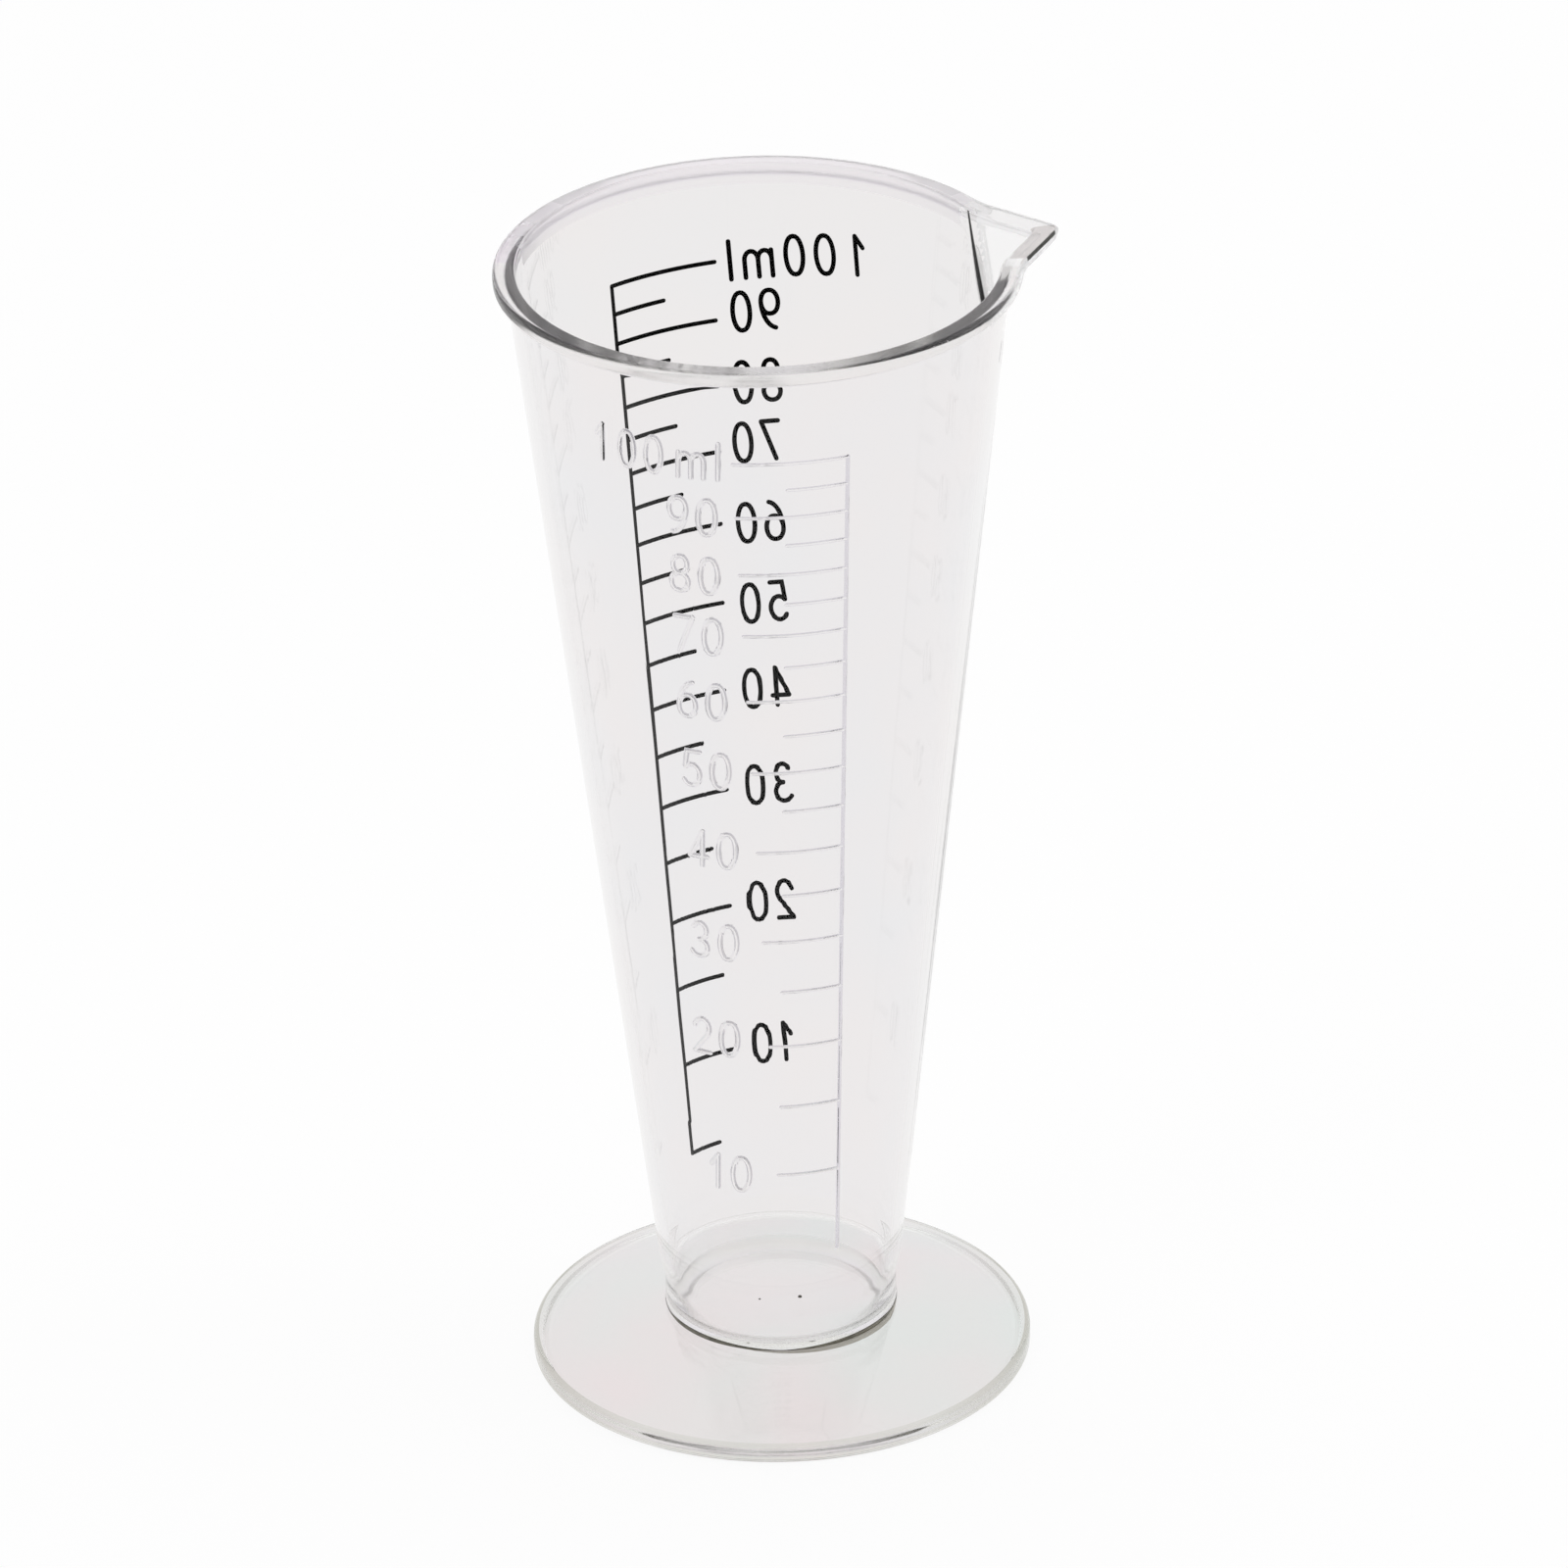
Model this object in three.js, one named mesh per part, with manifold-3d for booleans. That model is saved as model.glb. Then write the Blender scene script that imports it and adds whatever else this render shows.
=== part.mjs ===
// A clear plastic conical measuring cup for 100 millilitres, on a flat round foot.
// Millimetres, +Z up. The foot stands on z = 0 and the pouring spout points along +X.
// The origin lies below the middle of the outline, so the cup's own axis stands a little behind it.

import * as THREE from "three";
import { mergeVertices } from "three/addons/utils/BufferGeometryUtils.js";
import Module from "manifold-3d";

const wasm = await Module();
wasm.setup();

const DEGREE = Math.PI / 180;

// Beaker: a straight cone that ends below in a short straight heel
const CUP_HEIGHT = 123.2; // standing plane to the top of the rim
const MOUTH_RADIUS = 25.4; // outside of the cone, carried up to the top of the rim
const CONE_ANGLE = 6.53 * DEGREE; // lean of the wall from upright
const WALL = 1.16;
const FLOOR_THICKNESS = 0.8; // bonded to the foot, which backs it
const FLOOR_CORNER = 1.4; // radius where the inside wall meets the floor
const HEEL_RADIUS = 12.0;
const HEEL_HEIGHT = 4.0; // from the heel's underside to where it starts to widen
const SHOULDER_HEIGHT = 2.2; // widening from the heel to the cone
const HEEL_EDGE = 0.4; // rounding of the heel's lower edge

// Rim: a rounded lip that stands out from the wall all the way round
const LIP_HEIGHT = 1.55;
const LIP_PROUD = 1.1;
const LIP_ROUND = 0.55;
const MOUTH_ROUND = 0.4; // rounding of the mouth's inner edge

// Spout: a straight sided V drawn out of the wall, with the lip running on round it
const SPOUT_HALF_ANGLE = 17 * DEGREE; // round the rim, from the spout's middle to its crease
const SPOUT_DEPTH = 10.3; // from the rim down to where the V runs out in the wall
const SPOUT_REACH = 4.95; // how far the V's ridge stands out from the wall at the rim
const SPOUT_TIP_ROUND = 1.2 * DEGREE;
const SPOUT_CREASE = 0.7; // width over which the V blends into the wall

// Foot: a thin crowned disc, hollow below, with a shallow pocket that takes the heel
const FOOT_RADIUS = 25.85;
const FOOT_WALL = 1.6;
const FOOT_EDGE_HEIGHT = 1.9;
const FOOT_EDGE_ROUND = 0.7;
const FOOT_RING_WIDTH = 1.2; // flat ring that the cup stands on, with its rounded outer edge
const FOOT_CROWN = 0.4; // how far the top swells above a straight cone
const SEAT_HEIGHT = 4.6; // floor of the pocket, which carries the heel
const SEAT_WALL = 0.8; // below the pocket
const SEAT_CLEARANCE = 0.1; // round the heel
const POCKET_DEPTH = 0.8;
const POCKET_EDGE = 0.2; // rounding of the pocket's upper edge

// Graduations: the printed scale is ink on the wall, and the moulded one stands out of it
const FULL_SCALE = 100; // millilitres at the top mark
const MARK_STEP = 5; // millilitres from one mark to the next
const LONG_MARK_STEP = 10;
const PRINT_AZIMUTH = 110 * DEGREE; // middle of the printed scale, round from the spout
const PRINT_LINE = 0.45;
const PRINT_FIRST_MARK = 5;
const PRINT_BASELINE = 2.6; // sideways from the scale's middle
const PRINT_LONG_MARK = 11.9; // at the top mark, and less lower down
const PRINT_SHORT_MARK = 6.3;
const PRINT_LOWEST_MARK = 4.2; // at the lower end of the upright line
const PRINT_THICKNESS = 0.12;
const PRINT_GAP = 0.04; // between the wall and the ink
const MOULD_AZIMUTH = -90 * DEGREE;
const MOULD_LINE = 0.5;
const MOULD_FIRST_MARK = 10;
const MOULD_BASELINE = 2.9;
const MOULD_LONG_MARK = 11.6;
const MOULD_SHORT_MARK = 6.3;
const MOULD_RELIEF = 0.2;
const BASELINE_FOOT = 5; // millilitres at the lower end of both upright lines
const MARK_TAPER = 0.06; // length that a mark loses for each millimetre below the top mark

// Facets
const SEGMENTS = 96; // round the axis
const ARC_STEPS = 3; // in a rounded edge
const CROWN_STEPS = 6; // across the foot's top
const SPOUT_RINGS = 3; // between the spout's lower end and the lip

// Heights and radii that follow from the sizes above
const HEEL_BOTTOM = SEAT_HEIGHT;
const FLOOR_TOP = HEEL_BOTTOM + FLOOR_THICKNESS;
const CONE_SLOPE = Math.tan(CONE_ANGLE);
const LIP_BOTTOM = CUP_HEIGHT - LIP_HEIGHT;
const SPOUT_BOTTOM = CUP_HEIGHT - SPOUT_DEPTH;

function wallRadius(z) {
  return MOUTH_RADIUS - CONE_SLOPE * (CUP_HEIGHT - z);
}

function insideRadius(z) {
  return wallRadius(z) - WALL;
}

// Height of the liquid's surface. The inside is a cone, so its volume grows with its radius cubed.
function heightOf(millilitres) {
  const floorRadius = insideRadius(FLOOR_TOP);
  const cubed = floorRadius ** 3 + (3 * CONE_SLOPE * millilitres * 1000) / Math.PI;
  return FLOOR_TOP + (Math.cbrt(cubed) - floorRadius) / CONE_SLOPE;
}

// A quarter-turn or other arc as profile points, from one angle to another.
function arc(centreRadius, centreZ, radius, from, to) {
  return Array.from({ length: ARC_STEPS + 1 }, (_, i) => {
    const angle = from + ((to - from) * i) / ARC_STEPS;
    return new THREE.Vector2(centreRadius + radius * Math.cos(angle), centreZ + radius * Math.sin(angle));
  });
}

function point(radius, z) {
  return new THREE.Vector2(radius, z);
}

// A profile turned round the Z axis.
function turned(profile) {
  return new THREE.LatheGeometry(profile, SEGMENTS).rotateX(Math.PI / 2);
}

function toSolid(geometry) {
  const bare = geometry.clone();
  bare.deleteAttribute("normal");
  bare.deleteAttribute("uv");
  const merged = mergeVertices(bare, 1e-4);
  return new wasm.Manifold(
    new wasm.Mesh({
      numProp: 3,
      vertProperties: new Float32Array(merged.attributes.position.array),
      triVerts: new Uint32Array(merged.index.array),
    }),
  );
}

function toGeometry(solid) {
  const mesh = solid.getMesh();
  const geometry = new THREE.BufferGeometry();
  geometry.setAttribute("position", new THREE.BufferAttribute(mesh.vertProperties, mesh.numProp));
  geometry.setIndex(new THREE.BufferAttribute(mesh.triVerts, 1));
  geometry.computeVertexNormals();
  return geometry;
}

// The larger of two radii, blended where they cross.
function blendedMax(a, b, width) {
  const overlap = Math.max(width - Math.abs(a - b), 0) / width;
  return Math.max(a, b) + (overlap * overlap * width) / 4;
}

// Radius of a surface that lies a given distance outside the wall's outer face, spout included.
// In plan each side of the spout is a straight line from the wall to the tip.
function spoutedRadius(azimuth, z, outside) {
  const round = wallRadius(z) + outside;
  const grown = 1 - (CUP_HEIGHT - z) / SPOUT_DEPTH;
  if (grown <= 0) return round;
  const creaseAngle = SPOUT_HALF_ANGLE * grown;
  const tip = wallRadius(z) + SPOUT_REACH * grown;
  const sideAcross = wallRadius(z) * Math.sin(creaseAngle);
  const sideAlong = tip - wallRadius(z) * Math.cos(creaseAngle);
  const sideAngle = Math.atan2(sideAcross, sideAlong);
  const turn = Math.hypot(azimuth, SPOUT_TIP_ROUND * grown);
  const side = (tip * Math.sin(sideAngle) + outside) / Math.sin(Math.min(sideAngle + turn, Math.PI / 2));
  return turn + sideAngle < Math.PI / 2 ? blendedMax(round, side, SPOUT_CREASE * grown) : round;
}

// How far the cup's axis stands behind the middle of the outline, because the spout lengthens it.
function axisSetback() {
  const z = CUP_HEIGHT - LIP_ROUND;
  const back = MOUTH_RADIUS + LIP_PROUD;
  return (spoutedRadius(0, z, back - wallRadius(z)) - back) / 2;
}

function drawOutSpout(geometry) {
  const position = geometry.attributes.position;
  for (let i = 0; i < position.count; i++) {
    const x = position.getX(i);
    const y = position.getY(i);
    const z = position.getZ(i);
    if (z <= SPOUT_BOTTOM) continue;
    const azimuth = Math.atan2(y, x);
    const radius = spoutedRadius(azimuth, z, Math.hypot(x, y) - wallRadius(z));
    position.setXY(i, radius * Math.cos(azimuth), radius * Math.sin(azimuth));
  }
  return geometry;
}

// Rings at even heights from the spout's lower end up to a height under the rim.
function spoutRings(outside, top) {
  return Array.from({ length: SPOUT_RINGS + 1 }, (_, i) => {
    const z = SPOUT_BOTTOM + ((top - SPOUT_BOTTOM) * i) / SPOUT_RINGS;
    return point(wallRadius(z) + outside, z);
  });
}

function beakerShell() {
  const heelTop = HEEL_BOTTOM + HEEL_HEIGHT;
  const shoulderTop = heelTop + SHOULDER_HEIGHT;
  const lipEdge = wallRadius(CUP_HEIGHT) + LIP_PROUD - LIP_ROUND;
  const mouthEdge = insideRadius(CUP_HEIGHT) + MOUTH_ROUND;
  const cornerRadius = insideRadius(FLOOR_TOP) - FLOOR_CORNER;
  const cornerTop = FLOOR_TOP + FLOOR_CORNER;
  const profile = [
    point(0, HEEL_BOTTOM),
    ...arc(HEEL_RADIUS - HEEL_EDGE, HEEL_BOTTOM + HEEL_EDGE, HEEL_EDGE, -Math.PI / 2, 0),
    point(HEEL_RADIUS, heelTop),
    point((3 * HEEL_RADIUS + wallRadius(shoulderTop)) / 4, heelTop + SHOULDER_HEIGHT / 2),
    point(wallRadius(shoulderTop), shoulderTop),
    ...spoutRings(0, LIP_BOTTOM),
    ...arc(lipEdge, LIP_BOTTOM + LIP_ROUND, LIP_ROUND, -Math.PI / 2, 0),
    ...arc(lipEdge, CUP_HEIGHT - LIP_ROUND, LIP_ROUND, 0, Math.PI / 2),
    ...arc(mouthEdge, CUP_HEIGHT - MOUTH_ROUND, MOUTH_ROUND, Math.PI / 2, Math.PI),
    ...spoutRings(-WALL, LIP_BOTTOM).reverse(),
    ...arc(cornerRadius, cornerTop, FLOOR_CORNER, 0, -Math.PI / 2),
    point(0, FLOOR_TOP),
  ];
  return drawOutSpout(turned(profile));
}

// How long a mark is, at a height below the top mark.
function markLength(volume, below, { longMark, shortMark, lowestMark }) {
  if (volume === BASELINE_FOOT) return lowestMark;
  return volume % LONG_MARK_STEP === 0 ? longMark - MARK_TAPER * below : shortMark;
}

// Outline of a scale laid flat: an upright line at its right, with the marks as teeth to its left.
function scaleOutline({ line, baseline, firstMark, ...marks }) {
  const half = line / 2;
  const top = heightOf(FULL_SCALE);
  const bottom = heightOf(BASELINE_FOOT);
  const outline = [point(baseline + half, bottom - half), point(baseline + half, top + half)];
  for (let volume = FULL_SCALE; volume >= firstMark; volume -= MARK_STEP) {
    const z = heightOf(volume);
    const end = baseline - markLength(volume, top - z, marks);
    if (volume < FULL_SCALE) outline.push(point(baseline - half, z + half));
    outline.push(point(end, z + half), point(end, z - half));
    if (volume > BASELINE_FOOT) outline.push(point(baseline - half, z - half));
  }
  if (firstMark > BASELINE_FOOT) outline.push(point(baseline - half, bottom - half));
  return new THREE.Shape(outline);
}

// A scale as a layer on the wall's outside, between two distances from it, facing one way.
function scaleLayer(scale, inner, outer, azimuth) {
  const low = heightOf(BASELINE_FOOT) - 2 * scale.line;
  const high = heightOf(FULL_SCALE) + 2 * scale.line;
  const band = turned([
    point(wallRadius(low) + inner, low),
    point(wallRadius(low) + outer, low),
    point(wallRadius(high) + outer, high),
    point(wallRadius(high) + inner, high),
    point(wallRadius(low) + inner, low),
  ]);
  const across = new THREE.Vector3(-Math.sin(azimuth), Math.cos(azimuth), 0);
  const outward = new THREE.Vector3(Math.cos(azimuth), Math.sin(azimuth), 0);
  const comb = new THREE.ExtrudeGeometry(scaleOutline(scale), {
    depth: 2 * MOUTH_RADIUS,
    bevelEnabled: false,
  });
  comb.applyMatrix4(new THREE.Matrix4().makeBasis(across, new THREE.Vector3(0, 0, 1), outward));
  return toSolid(band).intersect(toSolid(comb));
}

function beaker() {
  const scale = {
    line: MOULD_LINE,
    baseline: MOULD_BASELINE,
    firstMark: MOULD_FIRST_MARK,
    longMark: MOULD_LONG_MARK,
    shortMark: MOULD_SHORT_MARK,
  };
  const relief = scaleLayer(scale, -WALL / 2, MOULD_RELIEF, MOULD_AZIMUTH);
  return toGeometry(toSolid(beakerShell()).add(relief));
}

function printedScale() {
  const scale = {
    line: PRINT_LINE,
    baseline: PRINT_BASELINE,
    firstMark: PRINT_FIRST_MARK,
    longMark: PRINT_LONG_MARK,
    shortMark: PRINT_SHORT_MARK,
    lowestMark: PRINT_LOWEST_MARK,
  };
  return toGeometry(scaleLayer(scale, PRINT_GAP, PRINT_GAP + PRINT_THICKNESS, PRINT_AZIMUTH));
}

function foot() {
  const pocketRadius = HEEL_RADIUS + SEAT_CLEARANCE;
  const pocketTop = SEAT_HEIGHT + POCKET_DEPTH;
  const slopeEnd = FOOT_RADIUS - FOOT_EDGE_ROUND;
  const crown = Array.from({ length: CROWN_STEPS + 1 }, (_, i) => {
    const share = i / CROWN_STEPS;
    const straight = pocketTop + (FOOT_EDGE_HEIGHT - pocketTop) * share;
    const swell = 4 * FOOT_CROWN * share * (1 - share);
    return point(pocketRadius + (slopeEnd - pocketRadius) * share, straight + swell);
  });
  const inset = FOOT_RING_WIDTH - FOOT_EDGE_ROUND;
  const hollow = crown.map((p) => point(p.x - inset, p.y - FOOT_WALL));
  const profile = [
    point(0, SEAT_HEIGHT - SEAT_WALL),
    ...hollow,
    point(FOOT_RADIUS - FOOT_RING_WIDTH, 0),
    ...arc(FOOT_RADIUS - FOOT_EDGE_ROUND / 2, FOOT_EDGE_ROUND / 2, FOOT_EDGE_ROUND / 2, -Math.PI / 2, 0),
    ...arc(slopeEnd, FOOT_EDGE_HEIGHT - FOOT_EDGE_ROUND, FOOT_EDGE_ROUND, 0, Math.PI / 2),
    ...crown.slice(1, -1).reverse(),
    ...arc(pocketRadius + POCKET_EDGE, pocketTop - POCKET_EDGE, POCKET_EDGE, Math.PI / 2, Math.PI),
    point(pocketRadius, SEAT_HEIGHT),
    point(0, SEAT_HEIGHT),
  ];
  return turned(profile);
}

const clearPlastic = new THREE.MeshStandardMaterial({
  color: 0xe9e6ec,
  roughness: 0.06,
  metalness: 0,
  transparent: true,
  opacity: 0.35,
});
const blackInk = new THREE.MeshStandardMaterial({ color: 0x15141a, roughness: 0.6, metalness: 0 });

function named(name, geometry, material) {
  const mesh = new THREE.Mesh(geometry.translate(-axisSetback(), 0, 0), material);
  mesh.name = name;
  return mesh;
}

const measuringCup = new THREE.Group();
measuringCup.add(
  named("beaker", beaker(), clearPlastic),
  named("foot", foot(), clearPlastic),
  named("printed_scale", printedScale(), blackInk),
);

export default measuringCup;
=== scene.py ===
"""Looks of the clear measuring cup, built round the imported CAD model. Sizes are in millimetres."""

import math

import bpy
import numpy as np
from mathutils import Matrix, Vector


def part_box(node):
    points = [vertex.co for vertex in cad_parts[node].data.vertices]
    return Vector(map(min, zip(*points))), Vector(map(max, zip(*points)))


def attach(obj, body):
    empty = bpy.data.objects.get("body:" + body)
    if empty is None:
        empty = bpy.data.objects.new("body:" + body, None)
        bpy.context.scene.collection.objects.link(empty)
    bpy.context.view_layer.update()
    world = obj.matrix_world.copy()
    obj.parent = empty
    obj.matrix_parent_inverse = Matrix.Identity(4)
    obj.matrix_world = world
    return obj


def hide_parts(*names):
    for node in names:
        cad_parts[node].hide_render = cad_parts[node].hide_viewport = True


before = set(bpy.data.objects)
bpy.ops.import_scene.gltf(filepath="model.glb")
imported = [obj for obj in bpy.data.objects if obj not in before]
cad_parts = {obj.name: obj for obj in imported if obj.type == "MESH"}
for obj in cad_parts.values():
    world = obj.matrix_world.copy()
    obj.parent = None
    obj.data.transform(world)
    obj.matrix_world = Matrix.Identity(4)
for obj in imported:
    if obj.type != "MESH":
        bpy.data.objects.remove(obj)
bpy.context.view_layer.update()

MM = 0.001

# The cup's own axis, a little behind the middle of the outline because of the spout
foot_low, foot_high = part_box("foot")
AXIS_X = (foot_low.x + foot_high.x) / 2 / MM

# Sizes of the solids, as in the part's source
CUP_HEIGHT = 123.2
MOUTH_RADIUS = 25.4
CONE_ANGLE = math.radians(6.53)
CONE_SLOPE = math.tan(CONE_ANGLE)
WALL = 1.16
FLOOR_THICKNESS = 0.8
FLOOR_CORNER = 1.4
HEEL_RADIUS = 12.0
HEEL_HEIGHT = 4.0
SHOULDER_HEIGHT = 2.2
HEEL_EDGE = 0.4
LIP_HEIGHT = 1.55
LIP_PROUD = 1.1
LIP_ROUND = 0.55
MOUTH_ROUND = 0.4
SPOUT_HALF_ANGLE = math.radians(17)
SPOUT_DEPTH = 10.3
SPOUT_REACH = 4.93  # a hair less than the solid's, so that the finer tip stays in its box
SPOUT_TIP_ROUND = math.radians(1.2)
SPOUT_CREASE = 0.7
HEEL_ROUND = 6  # fillets between heel, shoulder and cone
SHOULDER_ROUND = 10
LIP_ROOT_ROUND = 0.2
FOOT_RADIUS = 25.85
FOOT_WALL = 1.6
FOOT_EDGE_HEIGHT = 1.9
FOOT_EDGE_ROUND = 0.7
FOOT_RING_WIDTH = 1.2
FOOT_CROWN = 0.4
CROWN_POINTS = 17
FOOT_HOLLOW_ROUND = 8
FOOT_RING_ROUND = 0.12
SEAT_HEIGHT = 4.6
SEAT_WALL = 0.8
POCKET_DEPTH = 0.8
POCKET_ROUND = 0.1
BOND_FILLET = 0.12  # where the foot's top runs up against the heel
BOND_FILLET_TURN = math.radians(40.9)  # half of what it turns through
BOND_FILM = 0.004  # between the two mouldings where they are bonded
FULL_SCALE = 100
MARK_STEP = 5
LONG_MARK_STEP = 10
BASELINE_FOOT = 5
MARK_TAPER = 0.06
PRINT_AZIMUTH = math.radians(110)
PRINT_LINE = 0.46
PRINT_NUMERAL_LINE = 0.5
PRINT_FIRST_MARK = 5
PRINT_BASELINE = (2.95, 2.3)  # at the lower and the upper end: the print sits a little askew
PRINT_LONG_MARK = 11.9
PRINT_SHORT_MARK = 6.3
PRINT_LOWEST_MARK = 4.2
MOULD_AZIMUTH = math.radians(-90)
MOULD_LINE = 0.5
MOULD_FIRST_MARK = 10
MOULD_BASELINE = (2.9, 2.9)
MOULD_LONG_MARK = 11.6
MOULD_SHORT_MARK = 6.3
MOULD_RELIEF = 0.2
MOULD_NUMERAL_SPREAD = 0.62  # whole width of a ridge, with its gentle sides
MOULD_MARK_SPREAD = 0.42
MOULD_UPRIGHT_SPREAD = 0.46

FRONT_AZIMUTH = math.radians(-103.5)  # the side that faces the camera

# Painted shade at the joint round the front of the heel, shaped as a bead of glue and darkest
# halfway round to each side: its size where it is thickest, and its share where it is faint
JOINT_END = math.radians(88)
JOINT_TAPER = math.radians(25)
JOINT_STEPS = 177
JOINT_OUT = 0.15
JOINT_UP = 0.34
JOINT_BEND = (JOINT_OUT * 0.8, JOINT_UP * 0.5)  # where its section bends
JOINT_FAINT = 0.04
JOINT_LEAST = 0.02  # share at its two ends
JOINT_SHARPNESS = 1.2  # how soon it thins away from its thickest places
SMEAR_OUT = 0.85
SMEAR_MIDDLE = math.radians(36)
SMEAR_MEAN, SMEAR_SWING, SMEAR_LEAST = 0.35, 0.65, 0.04  # shares of its width
JOINT_SINK = 0.05  # how deep the line reaches into the foot, and the next into the heel
JOINT_ROOT = 0.02
SMEAR_THICK = (0.02, 0.004)  # beside the heel and at its outer edge
SMEAR_SINK = (0.06, 0.03)

# Where the plastic entered the mould: sideways, towards the front, radius, height
GATE_MARKS = [(1.95, 0.3, 0.22, 0.2), (-2.3, 0.6, 0.14, 0.08)]
NUB_PROFILE = [(1.0, -0.05), (1.0, 0.0), (0.8, 0.6), (0.45, 0.9)]  # shares of radius and height
NUB_SIDES = 12

HEEL_BOTTOM = SEAT_HEIGHT + BOND_FILM
POCKET_TOP = SEAT_HEIGHT + POCKET_DEPTH
SEAM_HEIGHT = POCKET_TOP + BOND_FILLET * math.tan(BOND_FILLET_TURN)  # top of the bonded faces
FLOOR_TOP = SEAT_HEIGHT + FLOOR_THICKNESS
LIP_BOTTOM = CUP_HEIGHT - LIP_HEIGHT
SPOUT_BOTTOM = CUP_HEIGHT - SPOUT_DEPTH
HEEL_TOP = SEAT_HEIGHT + HEEL_HEIGHT
SHOULDER_TOP = HEEL_TOP + SHOULDER_HEIGHT
# Heights between which the wall is a plain cone
PLAIN_WALL = (SHOULDER_TOP + 1.5, LIP_BOTTOM - 0.3)
NEAR = 0.01  # close enough to lie on a face
SAME_WAY = 0.97  # cosine from which two directions count as the same
SPOUT_CLEAR = SPOUT_HALF_ANGLE + 0.1  # from here on round the rim the wall is out of the spout


def wall_radius(z):
    return MOUTH_RADIUS - CONE_SLOPE * (CUP_HEIGHT - z)


def inside_radius(z):
    return wall_radius(z) - WALL


def height_of(millilitres):
    """Height at which the conical inside holds that much."""
    floor = inside_radius(FLOOR_TOP)
    cubed = floor**3 + 3 * CONE_SLOPE * millilitres * 1000 / math.pi
    return FLOOR_TOP + (cubed ** (1 / 3) - floor) / CONE_SLOPE


def height_at(radius):
    """Height at which the wall's outer face has that radius."""
    return CUP_HEIGHT - (MOUTH_RADIUS - radius) / CONE_SLOPE


def spouted_radius(azimuth, z, outside):
    """Radius of a surface that lies a distance outside the wall's outer face, spout included."""
    around = wall_radius(z) + outside
    grown = 1 - (CUP_HEIGHT - z) / SPOUT_DEPTH
    if grown <= 0:
        return np.full_like(azimuth, around)
    crease_angle = SPOUT_HALF_ANGLE * grown
    tip = wall_radius(z) + SPOUT_REACH * grown
    across = wall_radius(z) * math.sin(crease_angle)
    along = tip - wall_radius(z) * math.cos(crease_angle)
    side_angle = math.atan2(across, along)
    turn = np.hypot(azimuth, SPOUT_TIP_ROUND * grown)
    facing = np.minimum(side_angle + turn, math.pi / 2)
    side = (tip * math.sin(side_angle) + outside) / np.sin(facing)
    width = SPOUT_CREASE * grown
    overlap = np.maximum(width - np.abs(around - side), 0) / width
    blended = np.maximum(around, side) + overlap**2 * width / 4
    return np.where(side_angle + turn < math.pi / 2, blended, around)


# ---- meshes ----


def add_object(name, data):
    obj = bpy.data.objects.new(name, data)
    bpy.context.scene.collection.objects.link(obj)
    return obj


def make_object(name, verts, faces, materials, face_materials=0):
    """A mesh object from points in millimetres round the cup's axis."""
    mesh = bpy.data.meshes.new(name)
    placed = (np.asarray(verts, float) + (AXIS_X, 0, 0)) * MM
    mesh.from_pydata(placed.tolist(), [], [list(map(int, f)) for f in faces])
    for material in materials:
        mesh.materials.append(material)
    slots = np.broadcast_to(np.asarray(face_materials, np.int32), len(faces))
    mesh.polygons.foreach_set("material_index", np.ascontiguousarray(slots))
    mesh.polygons.foreach_set("use_smooth", np.ones(len(faces), bool))
    mesh.update()
    return add_object(name, mesh)


def rounded(corners, steps=6):
    """A profile of (radius, z, fillet) corners as points, each corner rounded by its fillet."""
    points = [corners[0][:2]]
    for before, corner, after in zip(corners, corners[1:], corners[2:]):
        p0, p1, p2 = (np.array(c[:2], float) for c in (before, corner, after))
        fillet = corner[2]
        if fillet <= 0:
            points.append(tuple(p1))
            continue
        a, b = (p0 - p1) / np.linalg.norm(p0 - p1), (p2 - p1) / np.linalg.norm(p2 - p1)
        half = math.acos(max(-1, min(1, float(a @ b)))) / 2
        reach = fillet / math.tan(half)
        centre = p1 + (a + b) / np.linalg.norm(a + b) * fillet / math.sin(half)
        start, end = p1 + a * reach - centre, p1 + b * reach - centre
        from_angle = math.atan2(start[1], start[0])
        turn = math.atan2(end[1], end[0]) - from_angle
        turn = (turn + math.pi) % (2 * math.pi) - math.pi
        count = max(2, round(steps * abs(turn) / (math.pi / 2)))
        for i in range(count + 1):
            angle = from_angle + turn * i / count
            points.append(tuple(centre + fillet * np.array([math.cos(angle), math.sin(angle)])))
    points.append(corners[-1][:2])
    return points


def with_spout_rings(profile, step=0.6):
    """The profile with extra points wherever a long stretch of it runs through the spout."""
    points = [profile[0]]
    for (r0, z0), (r1, z1) in zip(profile, profile[1:]):
        if max(z0, z1) > SPOUT_BOTTOM and abs(z1 - z0) > 2 * step:
            low, high = max(min(z0, z1), SPOUT_BOTTOM), max(z0, z1)
            heights = np.linspace(low, high, math.ceil((high - low) / step) + 1)
            if z1 < z0:
                heights = heights[::-1]
            for z in heights:
                if min(abs(z - z0), abs(z - z1)) > 1e-6:
                    points.append((r0 + (r1 - r0) * (z - z0) / (z1 - z0), z))
        points.append((r1, z1))
    return points


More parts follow.
